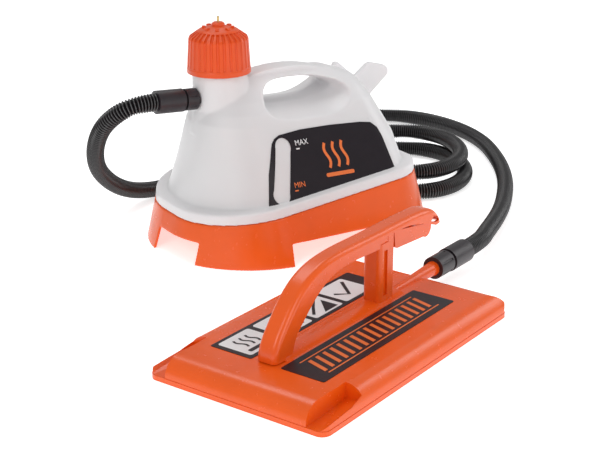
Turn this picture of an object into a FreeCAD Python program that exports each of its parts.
import FreeCAD, Part
import math
import os

# Wallpaper steamer: a translucent water tank on a skirted base, a screwed filler cap with a relief valve,
# a corrugated steam hose and a hand-held steam plate. Millimetres, +Z up, feet and plate on z = 0.
# The tank is laid out about its own axes (x along the tank, the neck on y = 0) and the plate about its own
# (u along the plate, v across it). TANK_AT and PLATE_AT place both, so that the origin is the bottom centre
# of the tank and plate together.

TANK_AT = (64.5, 177.5)
PLATE_FROM_TANK = (-126.0, -327.0)
PLATE_YAW = 22.0

# Parting plane between the tank and the base: it rises towards the +x end
SPLIT_Z = 63.0
SPLIT_TILT = 6.7
TANK_WALL = 3.0
FLANGE_H = 12.0
MAX_Z = 125.0

# Plan outlines: left end, right end, half width, left and right corner radius
FLANGE = (-146.5, 145.0, 112.5, 97.0, 41.0)
FEET = (-161.5, 164.5, 127.0, 126.0, 56.0)
# Tank body sections above the flange: height at x = 0, tilt in degrees, then the outline
BODY_SECTIONS = (
    (75.0, 6.7, (-134.0, 132.0, 101.5, 96.0, 36.0)),
    (112.0, 4.5, (-122.0, 129.0, 83.0, 78.0, 36.0)),
    (151.0, 0.0, (-110.0, 119.0, 61.5, 54.0, 34.0)),
)
HANDLE_W = 29.0
# The body's sides run on upwards and inwards, up to the carrying handle
UPPER_BODY = (
    (151.0, 0.0, (-110.0, 119.0, 61.5, 54.0, 34.0)),
    (163.0, 0.0, (-104.0, 113.0, 54.5, 49.0, 30.0)),
    (175.0, 0.0, (-96.0, 106.0, 43.0, 38.0, 26.0)),
    (187.0, 0.0, (-87.0, 96.0, 28.0, 26.0, 20.0)),
    (198.0, 0.0, (-76.0, 66.0, 14.0, 13.0, 12.0)),
)
# Opening under the handle: the tear shape at the handle's sides, and the wider rim of the scoop round it
HOLE_SHAPE = ((-34, 174), (-26, 187), (-4, 192), (26, 191), (52, 184), (66, 175), (46, 166), (12, 163.5), (-20, 165))
SCOOP_RIM = ((-46, 170), (-38, 196), (-4, 212), (34, 212), (70, 200), (84, 176), (66, 158), (14, 152.5), (-32, 156))
SCOOP_Y = (15.5, 62.0)
# Between these the upper body isn't hollow, because the scoops take its place
HOLLOW_GAP = (-50.0, 88.0)

# Filler neck and cap
NECK_X = -76.5
NECK_R = 31.0
NECK_BORE = 27.0
NECK_TOP = 236.0
# The neck widens downwards into the tank's round end: height, centre x and radius
NECK_FLARE = ((138.0, -68.0, 46.0), (163.0, -70.5, 36.8), (206.0, NECK_X, NECK_R + 0.05))
CAP_BOTTOM = 206.5
CAP_R = 37.0
CAP_TOP_R = 34.6
CAP_SHOULDER = 250.0
CAP_CROWN = 260.0
CAP_BORE = 33.0
CAP_CEILING = 238.6
FLUTES = 30
FLUTE_R = 1.9
DOME_TABS = 8
STEM_R = 1.3
STEM_TOP = 271.0
VALVE_FLOOR = 216.0

# Hose, its end fittings and the two spigots that they screw on
HOSE_D = 21.0
HOSE_R = HOSE_D / 2
OUTLET_TILT = 3.0
OUTLET_Z = 178.0
SPIGOT_R = 8.0
SPIGOT_BORE = 5.5
NUT_R = 12.6
CUFF_R = 13.4
CUFF_GROOVE = 2.5
CUFF_BORE_L = 22.0
NUT_GAP = 0.4
FIT = 0.06

# Base
SKIRT_WALL = 3.2
ARCH_H = 25.6
SIDE_ARCH = (-50.5, 93.0)
LEFT_ARCH = (-60.0, 14.0)
RIGHT_ARCH = (-60.0, 60.0)
COVER_Z = 27.0
COVER_T = 3.0
GLAND_AT = (78.0, 46.0)
GLAND_BORE = 3.8
ELEMENT_X = 40.0
ROD_R = 3.3
CUTOUT_X = 74.0
# Terminal block: lowest corner, size and the spacing of its three ways
BLOCK_AT = (96.0, 30.0, COVER_Z + COVER_T)
BLOCK_SIZE = (12.0, 30.0, 14.0)
WAY_PITCH = 10.0

# Steam plate and handle
PLATE_L = 334.0
PLATE_W = 206.0
PLATE_H = 24.4
PLATE_LIP = 5.0
PLATE_WALL = 3.0
EDGE_ROLL = 19.0
LIP_CORNER_R = 10.0
LIP_STEP = 0.6
POCKET_WALL_U = -104.0
POCKET_FLOOR = 8.0
RIDGE_R = 32.0
RIDGE_TOP = 27.8
HANDLE_HALF = 11.5
SEAM_STEP = 1.8
PIPE_R = 7.5
PIPE_Z = 23.3
LABEL_T = 0.5

# Coil: two oval turns, the long axis turned from +x. The upper turn is set back a little and to the left.
COIL_AT = (259.0, 78.0)
COIL_A = 98.0
COIL_B = 75.0
COIL_TURN_DEG = 58.2
COIL_SHIFT = (16.0, -5.0)
COIL_IN_DEG = -26.0
COIL_OUT_DEG = 232.0

# Hose routes about the tank's axes, from the tank cuff to the coil and from the coil to the plate cuff
TANK_ROUTE = (
    (-202, 12, 171), (-213, 33, 150), (-209, 64, 117), (-193, 97, 82), (-165, 126, 52),
    (-132, 151, 29), (-95, 172, 15), (-54, 184, 10.8), (-8, 187, 10.8), (42, 184, 10.8), (94, 180, 10.8),
    (146, 175, 10.8), (196, 171, 10.8), (240, 169.6, 10.8),
)
PLATE_ROUTE = (
    (181.6, 112, 32.5), (184, 154, 33), (193, 197, 33), (210, 240, 26), (240, 280, 15), (283, 313, 10.8),
    (331, 330, 10.8), (375, 328, 10.8), (408, 303, 10.8), (428, 264, 10.8), (437, 216, 10.8), (434, 166, 10.8),
    (421, 117, 10.8), (398, 68, 10.8), (369, 16, 10.8), (334, -34, 10.8), (297, -77, 11), (258, -118, 13),
    (216, -156, 16), (176, -189, 19.5),
)


def V(x, y, z):
    return FreeCAD.Vector(x, y, z)


X_AXIS, Y_AXIS, Z_AXIS = V(1, 0, 0), V(0, 1, 0), V(0, 0, 1)
O = V(0, 0, 0)


def box(x0, x1, y0, y1, z0, z1):
    return Part.makeBox(x1 - x0, y1 - y0, z1 - z0, V(x0, y0, z0))


def rod(radius, start, end):
    """A cylinder between two points."""
    return Part.makeCylinder(radius, (end - start).Length, start, end - start)


def ring(outer, inner, start, end):
    return rod(outer, start, end).cut(rod(inner, start, end))


def moved(shape, x=0, y=0, z=0):
    copy = shape.copy()
    copy.translate(V(x, y, z))
    return copy


def turned(shape, axis, degrees, about=O):
    copy = shape.copy()
    copy.rotate(about, axis, degrees)
    return copy


def fused(first, *others):
    return first.multiFuse(list(others)).removeSplitter()


def clean(shape):
    """The shape's solid on its own, or its solids as one compound."""
    solids = shape.Solids
    return solids[0] if len(solids) == 1 else Part.makeCompound(solids)


def cut_each(solid, cutters):
    for cutter in cutters:
        solid = solid.cut(cutter)
    return solid


def on_split(shape):
    """From the tank-floor frame, where z = 0 is the parting plane, to the tank's axes."""
    return moved(turned(shape, Y_AXIS, -SPLIT_TILT), z=SPLIT_Z)


def inset(outline, gap):
    left, right, half, r_left, r_right = outline
    return (left + gap, right - gap, half - gap, r_left - gap, r_right - gap)


def outline_wire(outline, z=0.0, tilt=0.0):
    """A plan outline with two corner radii, laid on a plane that rises along +x by tilt degrees."""
    left, right, half, rl, rr = outline
    corners = (
        (right - rr, -half + rr, rr, 270), (right - rr, half - rr, rr, 0),
        (left + rl, half - rl, rl, 90), (left + rl, -half + rl, rl, 180),
    )
    arcs = []
    for cx, cy, radius, start in corners:
        circle = Part.Circle(V(cx, cy, 0), Z_AXIS, radius)
        arcs.append(Part.Arc(circle, math.radians(start), math.radians(start + 90)).toShape())
    edges = []
    for here, following in zip(arcs, arcs[1:] + arcs[:1]):
        edges.append(here)
        edges.append(Part.makeLine(here.Vertexes[-1].Point, following.Vertexes[0].Point))
    wire = Part.Wire(edges)
    wire.rotate(O, Y_AXIS, -tilt)
    wire.translate(V(0, 0, z))
    return wire


def loft(sections):
    """A ruled solid through (height, tilt, outline) sections."""
    return Part.makeLoft([outline_wire(o, z, t) for z, t, o in sections], True, True)


def slab(outline, low, high):
    """A plate of one outline in the tank-floor frame."""
    face = Part.Face(outline_wire(outline, low))
    return face.extrude(V(0, 0, high - low))


def polygon(points, y0, y1):
    """A profile of (x, z) points extruded along y."""
    corners = [V(x, y0, z) for x, z in points]
    return Part.Face(Part.makePolygon(corners + corners[:1])).extrude(V(0, y1 - y0, 0))


def curved_profile(parts, y0, y1):
    """A closed (x, z) profile extruded along y: each part is a corner (x, z), or (x, z, x, z), the middle
    and end of an arc from the point before."""
    edges = []
    here = V(parts[0][0], y0, parts[0][1])
    first = here
    for part in parts[1:]:
        if len(part) == 2:
            end = V(part[0], y0, part[1])
            edges.append(Part.makeLine(here, end))
        else:
            end = V(part[2], y0, part[3])
            edges.append(Part.Arc(here, V(part[0], y0, part[1]), end).toShape())
        here = end
    if (here - first).Length > 1e-6:
        edges.append(Part.makeLine(here, first))
    return Part.Face(Part.Wire(edges)).extrude(V(0, y1 - y0, 0))


def revolved(profile, x=0.0, y=0.0):
    """A solid of revolution about the vertical line at (x, y) from (radius, z) points."""
    points = [V(r, 0, z) for r, z in profile]
    face = Part.Face(Part.makePolygon(points + points[:1]))
    return moved(face.revolve(O, Z_AXIS, 360), x, y)


def route_wire(points):
    """Straight runs joined by tangent arcs; returns the wire, its length and its arc radii."""
    edges, radii = [], []
    here = points[0]
    for before, corner, after in zip(points, points[1:], points[2:]):
        back, ahead = before - corner, after - corner
        shorter = min(back.Length, ahead.Length)
        turn = math.pi - back.getAngle(ahead)
        radius = 0.45 * shorter / math.tan(turn / 2)
        reach = 0.45 * shorter
        start = corner + back.normalize() * reach
        end = corner + ahead.normalize() * reach
        bisector = (back + ahead).normalize()
        middle = corner + bisector * (radius / math.cos(turn / 2) - radius)
        edges.append(Part.LineSegment(here, start).toShape())
        edges.append(Part.Arc(start, middle, end).toShape())
        radii.append(radius)
        here = end
    edges.append(Part.LineSegment(here, points[-1]).toShape())
    wire = Part.Wire(edges)
    return wire, wire.Length, radii


def tube(name, points, radius):
    """A solid round tube along a route, with its radii and its volume check printed."""
    wire, length, radii = route_wire(points)
    direction = points[1] - points[0]
    circle = Part.Wire(Part.makeCircle(radius, points[0], direction))
    solid = wire.makePipeShell([circle], True, False)
    expected = math.pi * radius ** 2 * length
    print(f"{name}: {length:.0f} mm, radii {[round(r) for r in radii]},",
          f"volume over section x length {solid.Volume / expected:.4f}")
    return solid, length


# ---------------------------------------------------------------- tank

def tank_outer():
    flange_low = (SPLIT_Z, SPLIT_TILT, FLANGE)
    flange_high = (SPLIT_Z + FLANGE_H, SPLIT_TILT, inset(FLANGE, 1.5))
    return loft([flange_low, flange_high]), loft(BODY_SECTIONS)


def closed_curve(points, y):
    """A smooth closed curve through (x, z) points at one y."""
    curve = Part.BSplineCurve()
    curve.interpolate([V(x, y, z) for x, z in points], PeriodicFlag=True)
    return Part.Wire(curve.toShape())


def handle_hole():
    """The opening under the carrying handle, straight through between the handle's sides."""
    half = SCOOP_Y[0] + 1
    return Part.Face(closed_curve(HOLE_SHAPE, -half)).extrude(V(0, 2 * half, 0))


def scoops():
    """The flared recess round the opening, on both sides of the handle."""
    sides = []
    for side in (-1, 1):
        wires = [closed_curve(HOLE_SHAPE, side * SCOOP_Y[0]), closed_curve(SCOOP_RIM, side * SCOOP_Y[1])]
        sides.append(Part.makeLoft(wires, True, True))
    return sides


def tank_volume():
    """The outside of the tank with its neck and handle, before it is hollowed."""
    flange, body = tank_outer()
    handle = curved_profile(
        ((-50, 150), (-50, 197), (12, 204.5, 75, 191), (100, 184, 112, 160), (112, 150)),
        -HANDLE_W / 2, HANDLE_W / 2)
    neck = rod(NECK_R, V(NECK_X, 0, 112), V(NECK_X, 0, NECK_TOP))
    circles = [Part.Wire(Part.makeCircle(radius, V(x, 0, z))) for z, x, radius in NECK_FLARE]
    flare = Part.makeLoft(circles, True, True)
    upper = cut_each(loft(UPPER_BODY), scoops())
    return fused(flange, body, handle, upper, neck, flare).cut(handle_hole())


def tank_cavity():
    """The water space: the sump on the tank floor, the tapering body, the hollows at both ends of the
    carrying handle and the neck's bore."""
    inner = [(z - 2, t, inset(o, TANK_WALL)) for z, t, o in BODY_SECTIONS]
    above = [(z - 2 - i, t, inset(o, TANK_WALL + i)) for i, (z, t, o) in enumerate(UPPER_BODY[:4])]
    hollows = loft(above).cut(box(*HOLLOW_GAP, -100, 100, 100, 250))
    sump = on_split(slab(inset(FLANGE, 18), TANK_WALL, FLANGE_H + 1))
    bore = rod(NECK_BORE, V(NECK_X, 0, 120), V(NECK_X, 0, NECK_TOP + 1))
    return fused(loft(inner), hollows, sump, bore)


def tank_shell():
    solid = tank_volume().cut(tank_cavity())
    solid = solid.cut(rod(SPIGOT_R + FIT, axis_point(OUTLET, -20), axis_point(OUTLET, 5)))
    solid = solid.cut(on_split(rod(14.5, V(ELEMENT_X, 0, -5), V(ELEMENT_X, 0, 8))))
    threads = [ring(NECK_R + 1.6, NECK_R - 1, V(NECK_X, 0, z), V(NECK_X, 0, z + 2.2)) for z in (214, 221, 228)]
    solid = fused(solid, *threads)
    for x, y in TANK_SCREWS:
        solid = solid.cut(on_split(rod(1.7, V(x, y, -1), V(x, y, FLANGE_H - 4))))
    return solid


OUTLET = (V(NECK_X - NECK_R, 0, OUTLET_Z),
          V(-math.cos(math.radians(OUTLET_TILT)), 0, math.sin(math.radians(OUTLET_TILT))))
TANK_SCREWS = ((-137.0, 0.0), (-45.0, 103.0), (-45.0, -103.0), (75.0, 103.0), (75.0, -103.0), (135.5, 40.0),
               (135.5, -40.0))


def axis_point(axis, along):
    origin, direction = axis
    return origin + direction * along


def hose_hook():
    """The V-shaped cradle on the rear of the right shoulder."""
    profile = ((104, 183), (106, 187), (111, 187), (135.5, 166), (139, 167), (154, 178.5), (160, 180.5),
               (181, 175), (187.5, 169.5), (187.5, 162), (160, 139), (118, 137), (92, 158))
    return polygon(profile, 34, 41).cut(tank_volume())


def tank_label():
    """The dark panel on the front of the tank, with the stadium-shaped level window cut out."""
    outline = ((-68.5, 65), (-60.5, 101), (-51, 127), (-48.5, 132.5), (-44, 137), (-37, 140), (-7.6, 142.4),
               (33, 142), (74, 140), (88, 138), (95, 132), (97.5, 124), (103.5, 87.5))
    window_low, window_high, window_r = V(-50.5, 0, 78), V(-35.5, 0, 127), 10.0
    band = polygon(outline, -130, -10)
    across = V(window_r, 0, 0)
    corners = [window_low - across, window_low + across, window_high + across, window_high - across]
    slot = Part.Face(Part.makePolygon(corners + corners[:1])).extrude(V(0, -130, 0))
    band = band.cut(slot)
    for centre in (window_low, window_high):
        band = band.cut(rod(window_r, centre, centre + V(0, -130, 0)))
    grown = loft([(z, t, inset(o, -LABEL_T)) for z, t, o in BODY_SECTIONS])
    return band.common(grown).cut(loft(BODY_SECTIONS))


# ---------------------------------------------------------------- cap and relief valve

def filler_cap():
    outer = revolved((
        (0, CAP_BOTTOM), (CAP_R, CAP_BOTTOM), (CAP_R, CAP_BOTTOM + 5), (CAP_R - 0.4, CAP_BOTTOM + 6),
        (CAP_TOP_R, CAP_SHOULDER - 5), (CAP_TOP_R - 1.2, CAP_SHOULDER - 2), (CAP_TOP_R - 4, CAP_SHOULDER),
        (22, CAP_SHOULDER + 6), (12, CAP_CROWN - 1), (7.5, CAP_CROWN), (7.5, CAP_CROWN + 2.5),
        (5.5, CAP_CROWN + 4), (0, CAP_CROWN + 4)), NECK_X)
    bore = rod(CAP_BORE, V(NECK_X, 0, CAP_BOTTOM - 1), V(NECK_X, 0, CAP_CEILING))
    stem_hole = rod(STEM_R + FIT, V(NECK_X, 0, CAP_CEILING - 1), V(NECK_X, 0, CAP_CROWN + 6))
    solid = outer.cut(bore).cut(stem_hole)
    grooves = []
    for i in range(FLUTES):
        turn = 360 * i / FLUTES
        low = V(CAP_R + 0.4, 0, CAP_BOTTOM + 7)
        knee = V(CAP_TOP_R + 0.4, 0, CAP_SHOULDER - 4)
        high = V(CAP_TOP_R - 10, 0, CAP_SHOULDER + 4.6)
        groove = rod(FLUTE_R, low, knee).fuse(Part.makeSphere(FLUTE_R, knee)).fuse(rod(FLUTE_R, knee, high))
        grooves.append(moved(turned(groove, Z_AXIS, turn), NECK_X))
    solid = solid.cut(Part.makeCompound(grooves))
    tab = box(14.5, 18.5, -2.2, 2.2, CAP_SHOULDER + 2, CAP_CROWN - 0.6)
    tabs = [moved(turned(tab, Z_AXIS, 360 * i / DOME_TABS + 12), NECK_X) for i in range(DOME_TABS)]
    return fused(solid, *tabs)


def cap_seal():
    return ring(NECK_R - 0.3, NECK_BORE + 0.3, V(NECK_X, 0, NECK_TOP + 0.2), V(NECK_X, 0, CAP_CEILING - 0.3))


def valve_housing():
    """The cup under the cap's crown that holds the valve's spring and seat."""
    outer = rod(11, V(NECK_X, 0, VALVE_FLOOR), V(NECK_X, 0, CAP_CEILING))
    chamber = rod(7.5, V(NECK_X, 0, VALVE_FLOOR + 3), V(NECK_X, 0, CAP_CEILING + 1))
    seat = rod(3, V(NECK_X, 0, VALVE_FLOOR - 1), V(NECK_X, 0, VALVE_FLOOR + 4))
    return outer.cut(chamber).cut(seat)


def valve_pin():
    stem = rod(STEM_R, V(NECK_X, 0, VALVE_FLOOR + 6), V(NECK_X, 0, STEM_TOP - STEM_R))
    tip = Part.makeSphere(STEM_R, V(NECK_X, 0, STEM_TOP - STEM_R))
    head = rod(6.2, V(NECK_X, 0, VALVE_FLOOR + 5), V(NECK_X, 0, VALVE_FLOOR + 7.5))
    return fused(stem, tip, head)


def valve_seal():
    return rod(5.2, V(NECK_X, 0, VALVE_FLOOR + 3.1), V(NECK_X, 0, VALVE_FLOOR + 5))


def valve_spring():
    low, high = VALVE_FLOOR + 7.9, CAP_CEILING - 0.4
    turns, wire, radius = 5, 0.45, 4.0
    helix = Part.makeHelix((high - low - 2 * wire) / turns, high - low - 2 * wire, radius)
    circle = Part.Wire(Part.makeCircle(wire, V(radius, 0, 0), V(0, 1, 0.2)))
    coil = helix.makePipeShell([circle], True, True)
    return moved(coil, NECK_X, 0, low + wire)


# ---------------------------------------------------------------- hose fittings

def swivel_nut(fitting):
    """A round nut with shallow grip grooves, free to turn on the spigot."""
    axis, at, length, _ = fitting
    body = ring(NUT_R, SPIGOT_R + FIT, axis_point(axis, at), axis_point(axis, at + length))
    origin, direction = axis
    side = direction.cross(Z_AXIS).normalize() * (NUT_R + 0.8)
    grooves = []
    for i in range(6):
        groove = rod(1.6, axis_point(axis, at + 3) + side, axis_point(axis, at + length - 3) + side)
        grooves.append(turned(groove, direction, 60 * i + 30, origin))
    return body.cut(Part.makeCompound(grooves))


def cuff_start(fitting):
    return fitting[1] + fitting[2] + NUT_GAP


def cuff_end(fitting):
    return axis_point(fitting[0], cuff_start(fitting) + CUFF_GROOVE + fitting[3])


def hose_cuff(fitting):
    """The moulded cuff on the hose's end: a thin neck beside the nut, then the grip sleeve."""
    axis, start, length = fitting[0], cuff_start(fitting), fitting[3]
    neck = rod(CUFF_R - 3, axis_point(axis, start), axis_point(axis, start + CUFF_GROOVE))
    sleeve = rod(CUFF_R, axis_point(axis, start + CUFF_GROOVE), axis_point(axis, start + CUFF_GROOVE + length))
    bore = rod(SPIGOT_R + FIT, axis_point(axis, start - 1), axis_point(axis, start + CUFF_BORE_L))
    throat = rod(SPIGOT_BORE, axis_point(axis, start), axis_point(axis, start + length))
    seat = rod(SPIGOT_R + 1.7, axis_point(axis, start + 10), axis_point(axis, start + 13.2))
    return fused(neck, sleeve).cut(bore).cut(throat).cut(seat)


def o_ring(fitting):
    start = cuff_start(fitting) + 10.1
    return ring(SPIGOT_R + 1.6, SPIGOT_R + FIT, axis_point(fitting[0], start), axis_point(fitting[0], start + 3))


# Each fitting: its axis, where the nut starts along it, the nut's length and the cuff sleeve's length
TANK_FITTING = (OUTLET, 1.0, 14.5, 33.0)
PLATE_FITTING = ((O + V(0, 0, PIPE_Z), X_AXIS), 184.6, 26.5, 38.0)


def outlet_spigot():
    return ring(SPIGOT_R, SPIGOT_BORE, axis_point(OUTLET, -10),
                axis_point(OUTLET, cuff_start(TANK_FITTING) + CUFF_BORE_L - 1))


def outlet_collar():
    """The retaining ring on the spigot's inner end, inside the neck."""
    return ring(10.2, SPIGOT_R + 0.02, axis_point(OUTLET, -9), axis_point(OUTLET, -6.5))


# ---------------------------------------------------------------- base

def skirt_outer(gap=0.0):
    return loft([(0, 0, inset(FEET, gap)), (SPLIT_Z, SPLIT_TILT, inset(FLANGE, gap))])


def base_skirt():
    outer = skirt_outer()
    inner = skirt_outer(SKIRT_WALL)
    ledge = on_split(slab(inset(FLANGE, 1), -4, 0)).common(outer)
    ledge = ledge.cut(on_split(slab(inset(FLANGE, 17), -6, 1)))
    above = box(-300, 300, -200, 200, COVER_Z + COVER_T + 0.2, 120)
    bosses = [rod(5, V(x, y, 0), V(x, y, 100)).common(outer).common(above) for x, y in COVER_SCREWS]
    gland_x, gland_z = GLAND_AT
    boss = rod(12, V(gland_x, 108, gland_z), V(gland_x, 122.5, gland_z))
    solid = fused(outer.cut(inner), ledge, boss, *bosses)
    solid = solid.cut(rod(8.06, V(gland_x, 100, gland_z), V(gland_x, 130, gland_z)))
    solid = solid.cut(box(*SIDE_ARCH, -200, 200, -1, ARCH_H))
    solid = solid.cut(box(-200, -100, *LEFT_ARCH, -1, ARCH_H)).cut(box(100, 200, *RIGHT_ARCH, -1, ARCH_H))
    for x, y in COVER_SCREWS:
        solid = solid.cut(rod(1.66, V(x, y, COVER_Z), V(x, y, COVER_Z + 18)))
    for x, y in TANK_SCREWS:
        solid = solid.cut(on_split(rod(2.2, V(x, y, -8), V(x, y, 1))))
    return solid


COVER_SCREWS = ((-99.0, 80.0), (-99.0, -80.0), (96.0, 93.0), (96.0, -93.0))


def base_cover():
    plate = skirt_outer(SKIRT_WALL + 0.3).common(box(-200, 200, -160, 160, COVER_Z, COVER_Z + COVER_T))
    for x, y in COVER_SCREWS:
        plate = plate.cut(rod(1.9, V(x, y, COVER_Z - 1), V(x, y, COVER_Z + 5)))
        plate = plate.cut(Part.makeCone(4.1, 1.9, 2.2, V(x, y, COVER_Z)))
    for i in range(6):
        plate = plate.cut(box(-30, 30, -27 + 10 * i, -23 + 10 * i, COVER_Z - 1, COVER_Z + 5))
    return plate


def cover_screws():
    screws = []
    for x, y in COVER_SCREWS:
        shank = rod(1.6, V(x, y, COVER_Z + 1), V(x, y, COVER_Z + 17))
        head = Part.makeCone(3.9, 1.6, 2.2, V(x, y, COVER_Z + 0.1))
        cross = fused(box(x - 2, x + 2, y - 0.4, y + 0.4, COVER_Z, COVER_Z + 1.1),
                      box(x - 0.4, x + 0.4, y - 2, y + 2, COVER_Z, COVER_Z + 1.1))
        screws.append(fused(shank, head).cut(cross))
    return Part.makeCompound(screws)


def tank_screws():
    screws = []
    for x, y in TANK_SCREWS:
        shank = rod(1.6, V(x, y, -4.2), V(x, y, FLANGE_H - 5))
        head = rod(3.6, V(x, y, -6.6), V(x, y, -4.2))
        screws.append(on_split(fused(shank, head)))
    return Part.makeCompound(screws)


# ---------------------------------------------------------------- heating and wiring

def element_gasket():
    return on_split(ring(25, 14.5, V(ELEMENT_X, 0, TANK_WALL), V(ELEMENT_X, 0, TANK_WALL + 2)))


def element_flange():
    plate = rod(25, V(ELEMENT_X, 0, TANK_WALL + 2), V(ELEMENT_X, 0, TANK_WALL + 4.5))
    stub = rod(14, V(ELEMENT_X, 0, -14), V(ELEMENT_X, 0, TANK_WALL + 2))
    holes = [rod(ROD_R + 0.05, V(ELEMENT_X, y, -15), V(ELEMENT_X, y, 10)) for y in (-8, 8)]
    return on_split(fused(plate, stub).cut(Part.makeCompound(holes)))


def heating_element():
    """One looped rod: up through the flange, along the tank floor and back."""
    points = [V(ELEMENT_X, -8, -18), V(ELEMENT_X, -8, 22), V(ELEMENT_X - 45, -30, 24), V(ELEMENT_X - 110, -38, 24),
              V(ELEMENT_X - 140, -20, 24), V(ELEMENT_X - 140, 20, 24), V(ELEMENT_X - 110, 38, 24),
              V(ELEMENT_X - 45, 30, 24), V(ELEMENT_X, 8, 22), V(ELEMENT_X, 8, -18)]
    solid, _ = tube("heating_element", points, ROD_R)
    return on_split(solid)


def element_nut():
    body = ring(20, 14.05, V(ELEMENT_X, 0, -7), V(ELEMENT_X, 0, -0.1))
    flats = Part.makeCompound([turned(box(ELEMENT_X + 17.5, ELEMENT_X + 30, -30, 30, -9, 2), Z_AXIS, 60 * i,
                                      V(ELEMENT_X, 0, 0)) for i in range(6)])
    return on_split(body.cut(flats))


def thermal_cutout():
    """The safety switch pressed up against the tank's floor, with its two blade terminals."""
    can = rod(8.5, V(CUTOUT_X, 0, -10), V(CUTOUT_X, 0, 0))
    collar = ring(12, 8.5, V(CUTOUT_X, 0, -1.5), V(CUTOUT_X, 0, 0))
    tabs = [box(CUTOUT_X + s * 4 - 2, CUTOUT_X + s * 4 + 2, -0.4, 0.4, -16, -10) for s in (-1, 1)]
    return on_split(fused(can, collar, *tabs))


def cutout_bracket():
    """The strip that holds the cutout up against the tank's floor."""
    strip = box(CUTOUT_X - 14, CUTOUT_X + 18, -13, 13, -2.5, -1.5)
    return on_split(strip.cut(rod(8.6, V(CUTOUT_X, 0, -4), V(CUTOUT_X, 0, 0))))


def block_way(number, height):
    """The middle of one of the terminal block's three ways, at a height above its underside."""
    x, y, z = BLOCK_AT
    return V(x + BLOCK_SIZE[0] / 2, y + WAY_PITCH * (number + 0.5), z + height)


def terminal_block():
    x, y, z = BLOCK_AT
    length, width, height = BLOCK_SIZE
    block = box(x, x + length, y, y + width, z, z + height)
    reach = V(length / 2 + 1, 0, 0)
    holes = [rod(1.5, block_way(i, 7) - reach, block_way(i, 7) + reach) for i in range(3)]
    wells = [rod(2, block_way(i, 9), block_way(i, height + 1)) for i in range(3)]
    return block.cut(Part.makeCompound(holes + wells))


def terminal_screws():
    return Part.makeCompound([rod(1.9, block_way(i, 9.1), block_way(i, 13)) for i in range(3)])


def wire_lead(name, start, end, lift):
    """An insulated lead from the terminal block to the element or cutout."""
    middle = (start + end) * 0.5
    points = [start, start + V(-10, 0, 0), V(start.x - 18, (start.y + middle.y) / 2, start.z + lift),
              V(middle.x, middle.y, middle.z + lift / 2), end + V(4, 3, -6), end]
    solid, _ = tube(name, points, 1.3)
    return solid


def cord_gland():
    x, z = GLAND_AT
    sleeve = rod(8, V(x, 106, z), V(x, 122.6, z))
    flange = rod(10.5, V(x, 122.6, z), V(x, 126, z))
    return fused(sleeve, flange).cut(rod(GLAND_BORE, V(x, 105, z), V(x, 127, z)))


def cord_clamp():
    """The inner saddle that grips the mains lead beside the gland."""
    x, z = GLAND_AT
    saddle = box(x - 12, x + 12, 88, 98, COVER_Z + COVER_T, z + 7)
    saddle = saddle.cut(rod(GLAND_BORE, V(x, 80, z), V(x, 105, z)))
    return saddle.cut(box(x - 20, x + 20, 80, 105, z - 0.6, z + 0.6))


def clamp_screws():
    x, z = GLAND_AT
    return Part.makeCompound([rod(2.8, V(x + s * 8, 93, z + 7.1), V(x + s * 8, 93, z + 9.3)) for s in (-1, 1)])


# ---------------------------------------------------------------- steam plate

def plate_pipe_outer():
    """The inlet's outside: a taper that leaves the plate beside the rear post, then the pipe and spigot."""
    taper = Part.makeCone(4.0, PIPE_R, 74, V(102, 0, PIPE_Z), X_AXIS)
    pipe = rod(PIPE_R, V(176, 0, PIPE_Z), V(PLATE_FITTING[1] - 1, 0, PIPE_Z))
    end = cuff_start(PLATE_FITTING) + CUFF_BORE_L - 1
    return fused(taper, pipe, rod(SPIGOT_R, V(PLATE_FITTING[1] - 3, 0, PIPE_Z), V(end, 0, PIPE_Z)))


def steam_pipe():
    end = cuff_start(PLATE_FITTING) + CUFF_BORE_L
    bore = rod(2.6, V(108, 0, PIPE_Z), V(177, 0, PIPE_Z))
    mouth = rod(SPIGOT_BORE, V(176, 0, PIPE_Z), V(end, 0, PIPE_Z))
    outlet = rod(2.0, V(113, 0, PIPE_Z), V(113, 0, PIPE_Z - 12))
    return plate_pipe_outer().cut(bore).cut(mouth).cut(outlet)


def wedge(low_end, high_end):
    """A solid between two four-cornered ends, with flat triangular sides."""
    faces = []
    for i in range(4):
        j = (i + 1) % 4
        for corners in ((low_end[i], low_end[j], high_end[j]), (low_end[i], high_end[j], high_end[i])):
            faces.append(Part.Face(Part.makePolygon(list(corners) + [corners[0]])))
    for end in (low_end, high_end):
        for corners in ((end[0], end[1], end[2]), (end[0], end[2], end[3])):
            faces.append(Part.Face(Part.makePolygon(list(corners) + [corners[0]])))
    solid = Part.Solid(Part.Shell(faces))
    return solid if solid.Volume > 0 else solid.reversed()


def nose_pockets(grow=0.0):
    """The trenches in the two corners at the front-leg end. Each deepens towards a short wall, and leaves a
    low rim along the plate's edge."""
    trenches = []
    for side in (-1, 1):
        ends = []
        for u, floor, rise, rim_top in ((POCKET_WALL_U + grow, POCKET_FLOOR, 3.2, 60), (-172.0, 4.4, 1.0, 15)):
            section = ((80 - grow, 60), (82 - grow, floor - grow), (98.0 + grow, floor + rise - grow),
                       (110 + grow, rim_top))
            ends.append([V(u, side * v, z) for v, z in section])
        trenches.append(wedge(*ends))
    return trenches


def plate_ridge():
    """The low rounded ridge between the handle's two feet."""
    ridge = rod(RIDGE_R, V(-102, 0, RIDGE_TOP - RIDGE_R), V(103, 0, RIDGE_TOP - RIDGE_R))
    return ridge.common(box(-150, 150, -40, 40, PLATE_H - 1, 60))


def rounded_block(half_l, half_w, radius, height):
    """A block on z = 0 with its four upright edges rounded."""
    block = box(-half_l, half_l, -half_w, half_w, 0, height)
    upright = [e for e in block.Edges if abs(e.Vertexes[0].Z - e.Vertexes[1].Z) > 1]
    return block.makeFillet(radius, upright)


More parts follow.
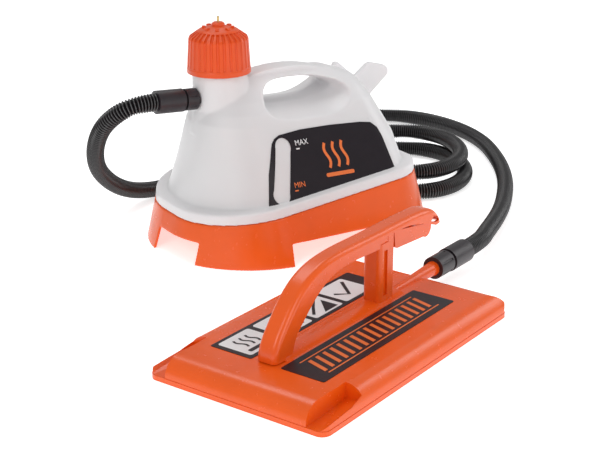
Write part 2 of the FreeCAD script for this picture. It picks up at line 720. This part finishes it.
def plate_shell():
    """The steam chamber with rolled edges, open underneath, on a thin flange with rounded corners."""
    half_l, half_w = PLATE_L / 2, PLATE_W / 2
    lip = rounded_block(half_l, half_w, LIP_CORNER_R, PLATE_LIP)
    inside_lip = rounded_block(half_l - LIP_STEP, half_w - LIP_STEP, LIP_CORNER_R - LIP_STEP, PLATE_H)
    dome = box(-half_l + LIP_STEP, half_l - LIP_STEP, -half_w + LIP_STEP, half_w - LIP_STEP, 0, PLATE_H)
    top_edges = [e for e in dome.Edges if all(abs(v.Z - PLATE_H) < 1e-6 for v in e.Vertexes)]
    dome = cut_each(dome.makeFillet(EDGE_ROLL, top_edges).common(inside_lip), nose_pockets())
    solid = fused(dome, lip, plate_ridge())
    chamber = box(-half_l + 5, half_l - 5, -half_w + 5, half_w - 5, -1, PLATE_H - PLATE_WALL)
    tops = [e for e in chamber.Edges if all(abs(v.Z - PLATE_H + PLATE_WALL) < 1e-6 for v in e.Vertexes)]
    chamber = cut_each(chamber.makeFillet(EDGE_ROLL - 4, tops), nose_pockets(PLATE_WALL))
    solid = solid.cut(chamber).cut(plate_pipe_outer())
    for u in HANDLE_SCREW_U:
        solid = solid.cut(rod(2.0, V(u, 0, 10), V(u, 0, 40)))
    return solid


HANDLE_SCREW_U = (-106.0, 68.0)


def spline_band(upper, lower, half_width):
    """A band between two smooth (u, z) curves, extruded to both sides of the plate's middle."""
    curves = []
    for points in (upper, lower):
        curve = Part.BSplineCurve()
        curve.interpolate([V(u, -half_width, z) for u, z in points])
        curves.append(curve.toShape())
    first_end = Part.makeLine(V(upper[0][0], -half_width, upper[0][1]), V(lower[0][0], -half_width, lower[0][1]))
    last_end = Part.makeLine(V(upper[-1][0], -half_width, upper[-1][1]), V(lower[-1][0], -half_width, lower[-1][1]))
    face = Part.Face(Part.Wire([first_end, curves[1], last_end, curves[0]]))
    return face.extrude(V(0, 2 * half_width, 0))


HANDLE_FOOT = PLATE_H + 1.0
CROWN = ((-117.5, HANDLE_FOOT), (-113, 43), (-104, 56), (-92, 70), (-72, 88), (-46, 99.5), (-16, 104), (30, 104.5),
         (90, 104.5), (140, 104), (160, 101), (174, 92), (180, 82))
SEAM = ((-101, HANDLE_FOOT), (-95, 40), (-82, 57), (-64, 75), (-42, 88), (-14, 95), (20, 97), (70, 97), (120, 95),
        (160, 84), (168, 81))
INSIDE = ((-87, HANDLE_FOOT), (-82, 40), (-69, 54), (-50, 70), (-28, 82), (-4, 87), (24, 87.5), (62, 86))


def long_edges(solid, low_z, high_z, side):
    """Edges of the two side faces that run along the band between two heights."""
    found = []
    for edge in solid.Edges:
        middle = edge.valueAt((edge.FirstParameter + edge.LastParameter) / 2)
        if edge.Length > 100 and abs(abs(middle.y) - side) < 1e-3 and low_z < middle.z < high_z:
            found.append(edge)
    return found


def plate_handle():
    """The handle's outer half: front leg, grip and the overhang behind, with the rear face of the post."""
    solid = spline_band(CROWN, SEAM, HANDLE_HALF)
    solid = solid.makeFillet(6.0, long_edges(solid, 99, 120, HANDLE_HALF))
    hollow = polygon(((120, 98), (140, 100.5), (156, 98), (170, 88), (190, 74), (170, 70), (130, 89)),
                     -HANDLE_HALF + 3, HANDLE_HALF - 3)
    apron = curved_profile(((88, 97.5), (90, 80), (94, 77), (146, 74), (158, 75, 160, 86)),
                           -HANDLE_HALF + 2, HANDLE_HALF - 2)
    above_seam = spline_band(CROWN, SEAM, 30)
    eye = polygon(((157, 87.5), (163, 93), (172, 90), (175, 85), (168, 84.5)), -30, 30)
    solid = fused(solid, apron.cut(above_seam)).cut(hollow).cut(eye)
    post_back = box(POST_SEAM, POST_SEAM + 10, -HANDLE_HALF + 1.5, HANDLE_HALF - 1.5, POST_FOOT, 97.5)
    solid = fused(solid, post_back.cut(above_seam)).cut(plate_ridge())
    return solid.cut(rod(1.56, V(HANDLE_SCREW_U[0], 0, 20), V(HANDLE_SCREW_U[0], 0, HANDLE_FOOT + 13.4)))


POST_SEAM = 76.0
POST_FOOT = PLATE_H + 0.2


def handle_inner():
    """The handle's inner half: the inside of the front leg, the grip's underside and the post's front."""
    above_seam = spline_band([(u, z + 0.1) for u, z in CROWN], [(u + 0.05, z - 0.05) for u, z in SEAM], 30)
    band = spline_band(SEAM[:9], INSIDE, HANDLE_HALF - SEAM_STEP)
    band = band.cut(box(POST_SEAM, 200, -40, 40, 0, 200))
    post = box(60, POST_SEAM, -HANDLE_HALF + 0.8, HANDLE_HALF - 0.8, POST_FOOT, 90)
    front = [e for e in post.Edges if e.Length > 50 and e.BoundBox.XMax < 61]
    post = post.makeFillet(5.0, front)
    for side in (-1, 1):
        low, high = sorted((side * (HANDLE_HALF - 3.0), side * HANDLE_HALF))
        post = post.cut(box(POST_SEAM - 9, POST_SEAM - 2, low, high, POST_FOOT + 8, 82))
    solid = band.multiFuse([post]).cut(above_seam).cut(plate_ridge()).removeSplitter()
    return solid.cut(rod(1.56, V(HANDLE_SCREW_U[1], 0, 20), V(HANDLE_SCREW_U[1], 0, HANDLE_FOOT + 13.4)))


def handle_screws():
    screws = []
    for u in HANDLE_SCREW_U:
        z = PLATE_H - PLATE_WALL
        shank = rod(1.5, V(u, 0, z - 1), V(u, 0, z + 17))
        head = rod(3.4, V(u, 0, z - 2.6), V(u, 0, z - 0.1))
        screws.append(fused(shank, head))
    return Part.makeCompound(screws)


def steam_baffle():
    """The inner plate that spreads the steam under the shell, on four pillars."""
    plate = box(-130, 130, -70, 70, 8, 9.6)
    holes = []
    for i in range(9):
        for j in range(5):
            holes.append(rod(3, V(-112 + 28 * i, -52 + 26 * j, 7), V(-112 + 28 * i, -52 + 26 * j, 11)))
    pillars = [rod(4, V(u, v, 9.6), V(u, v, PLATE_H - PLATE_WALL)) for u in (-120, 90) for v in (-55, 55)]
    plate = plate.cut(Part.makeCompound(holes))
    return fused(plate, *pillars)


def plate_label(side):
    """A dark flat label beside the handle; side is -1 for the front one and 1 for the back one."""
    low, high = sorted((side * 17.2, side * 66.8))
    flat = box(-117, 115.5, low, high, PLATE_H, PLATE_H + LABEL_T)
    corners = [e for e in flat.Edges if abs(e.Vertexes[0].Z - e.Vertexes[1].Z) > 0.1]
    return flat.makeFillet(2.0, corners)


# ---------------------------------------------------------------- placing and writing

def in_tank(shape):
    return moved(shape, *TANK_AT)


def plate_point(u, v, z):
    yaw = math.radians(PLATE_YAW)
    return V(PLATE_FROM_TANK[0] + u * math.cos(yaw) - v * math.sin(yaw),
             PLATE_FROM_TANK[1] + u * math.sin(yaw) + v * math.cos(yaw), z)


def in_plate(shape):
    placed = turned(shape, Z_AXIS, PLATE_YAW)
    return in_tank(moved(placed, *PLATE_FROM_TANK))


def coil_axes():
    """Unit vectors along and across the coil's long axis, in plan."""
    lie = math.radians(COIL_TURN_DEG)
    return (math.cos(lie), math.sin(lie)), (math.sin(lie), -math.cos(lie))


def coil_point(degrees, shift=(0.0, 0.0)):
    """A point on the oval turn: 0 degrees is the far end of its long axis, and it runs clockwise."""
    along, across = coil_axes()
    a = COIL_A * math.cos(math.radians(degrees)) + shift[0]
    b = COIL_B * math.sin(math.radians(degrees)) + shift[1]
    return (COIL_AT[0] + a * along[0] + b * across[0], COIL_AT[1] + a * along[1] + b * across[1])


def oval_prism(grow, shift, z0, z1):
    ellipse = Part.Ellipse(O, COIL_A + grow, COIL_B + grow)
    face = Part.Face(Part.Wire(ellipse.toShape()))
    prism = turned(face.extrude(V(0, 0, z1 - z0)), Z_AXIS, COIL_TURN_DEG)
    along, across = coil_axes()
    x = COIL_AT[0] + shift[0] * along[0] + shift[1] * across[0]
    y = COIL_AT[1] + shift[0] * along[1] + shift[1] * across[1]
    return moved(prism, x, y, z0)


def hose_coil():
    """The outer shape of the two stacked turns: two oval rings, the upper one set back a little."""
    rings = []
    for level, shift in ((0, (0.0, 0.0)), (1, COIL_SHIFT)):
        z0, z1 = 0.1 + level * HOSE_D, 0.1 + (level + 1) * HOSE_D
        rings.append(oval_prism(HOSE_R, shift, z0, z1).cut(oval_prism(-HOSE_R, shift, z0 - 1, z1 + 1)))
    return fused(*rings)


def split_point(x, y, z):
    """A point given in the tank-floor frame."""
    return on_split(Part.Vertex(x, y, z)).Point


def build():
    tank_end = cuff_end(TANK_FITTING)
    plate_end = plate_point(cuff_end(PLATE_FITTING).x + NUT_GAP, 0, PIPE_Z)
    join_in = V(*coil_point(COIL_IN_DEG), HOSE_R)
    join_out = V(*coil_point(COIL_OUT_DEG, COIL_SHIFT), HOSE_D + HOSE_R)
    tank_ahead = axis_point(OUTLET, cuff_end(TANK_FITTING).sub(OUTLET[0]).Length + 23)
    plate_ahead = plate_point(cuff_end(PLATE_FITTING).x + 38, 0, PIPE_Z)
    tank_points = [tank_end, tank_ahead] + [V(*p) for p in TANK_ROUTE] + [join_in]
    plate_points = [join_out] + [V(*p) for p in PLATE_ROUTE] + [plate_ahead, plate_end]
    tank_run, tank_run_length = tube("hose_tank_run", tank_points, HOSE_R)
    plate_run, plate_run_length = tube("hose_plate_run", plate_points, HOSE_R)
    turns = math.pi * (COIL_A + COIL_B) * (COIL_OUT_DEG + 360 - COIL_IN_DEG) / 360
    print(f"hose length about {tank_run_length + turns + plate_run_length:.0f} mm, of which coiled {turns:.0f}")
    way_mouths = [block_way(i, 7) - V(BLOCK_SIZE[0] / 2, 0, 0) for i in range(3)]
    tank_nodes = {
        "tank_shell": tank_shell(), "hose_hook": hose_hook(), "tank_label": tank_label(),
        "filler_cap": filler_cap(), "cap_seal": cap_seal(), "valve_housing": valve_housing(),
        "valve_pin": valve_pin(), "valve_seal": valve_seal(), "valve_spring": valve_spring(),
        "outlet_spigot": outlet_spigot(), "outlet_collar": outlet_collar(),
        "tank_swivel_nut": swivel_nut(TANK_FITTING), "tank_hose_cuff": hose_cuff(TANK_FITTING),
        "tank_o_ring": o_ring(TANK_FITTING),
        "base_skirt": base_skirt(), "base_cover": base_cover(), "cover_screws": cover_screws(),
        "tank_screws": tank_screws(), "element_gasket": element_gasket(), "element_flange": element_flange(),
        "heating_element": heating_element(), "element_nut": element_nut(), "thermal_cutout": thermal_cutout(),
        "cutout_bracket": cutout_bracket(), "terminal_block": terminal_block(),
        "terminal_screws": terminal_screws(), "cord_gland": cord_gland(), "cord_clamp": cord_clamp(),
        "clamp_screws": clamp_screws(),
        "live_wire": wire_lead("live_wire", way_mouths[0], split_point(CUTOUT_X + 4, 1.8, -15), 4),
        "neutral_wire": wire_lead("neutral_wire", way_mouths[1], split_point(ELEMENT_X, 8, -19.4), 6),
        "earth_wire": wire_lead("earth_wire", way_mouths[2], split_point(ELEMENT_X - 4, 13, -15.4), 9),
        "hose_tank_run": tank_run, "hose_coil": hose_coil(), "hose_plate_run": plate_run,
    }
    plate_nodes = {
        "plate_shell": plate_shell(), "plate_handle": plate_handle(), "handle_inner": handle_inner(),
        "handle_screws": handle_screws(), "steam_pipe": steam_pipe(), "steam_baffle": steam_baffle(),
        "plate_front_label": plate_label(-1), "plate_back_label": plate_label(1),
        "plate_swivel_nut": swivel_nut(PLATE_FITTING), "plate_hose_cuff": hose_cuff(PLATE_FITTING),
        "plate_o_ring": o_ring(PLATE_FITTING),
    }
    placed = {name: in_tank(shape) for name, shape in tank_nodes.items()}
    placed.update({name: in_plate(shape) for name, shape in plate_nodes.items()})
    return placed


HOSE_NODES = ("hose_tank_run", "hose_coil", "hose_plate_run", "tank_hose_cuff", "plate_hose_cuff",
              "tank_swivel_nut", "plate_swivel_nut", "tank_o_ring", "plate_o_ring")


def main():
    os.makedirs("parts", exist_ok=True)
    whole = FreeCAD.BoundBox()
    for name, shape in build().items():
        solid = clean(shape)
        solid.exportStep(f"parts/{name}.step")
        if not solid.isValid() or not solid.Solids:
            print("not valid:", name)
        if name not in HOSE_NODES:
            whole.add(solid.optimalBoundingBox(True, False))
    print(f"box without the hose: {whole.XLength:.1f} x {whole.YLength:.1f} x {whole.ZLength:.1f} mm,",
          f"centre {whole.Center.x:.2f}, {whole.Center.y:.2f}, bottom {whole.ZMin:.2f}")
    to_max = tank_cavity().common(box(-300, 300, -200, 200, 0, MAX_Z))
    print(f"water to the upper mark: {to_max.Volume / 1e6:.2f} litres")


main()
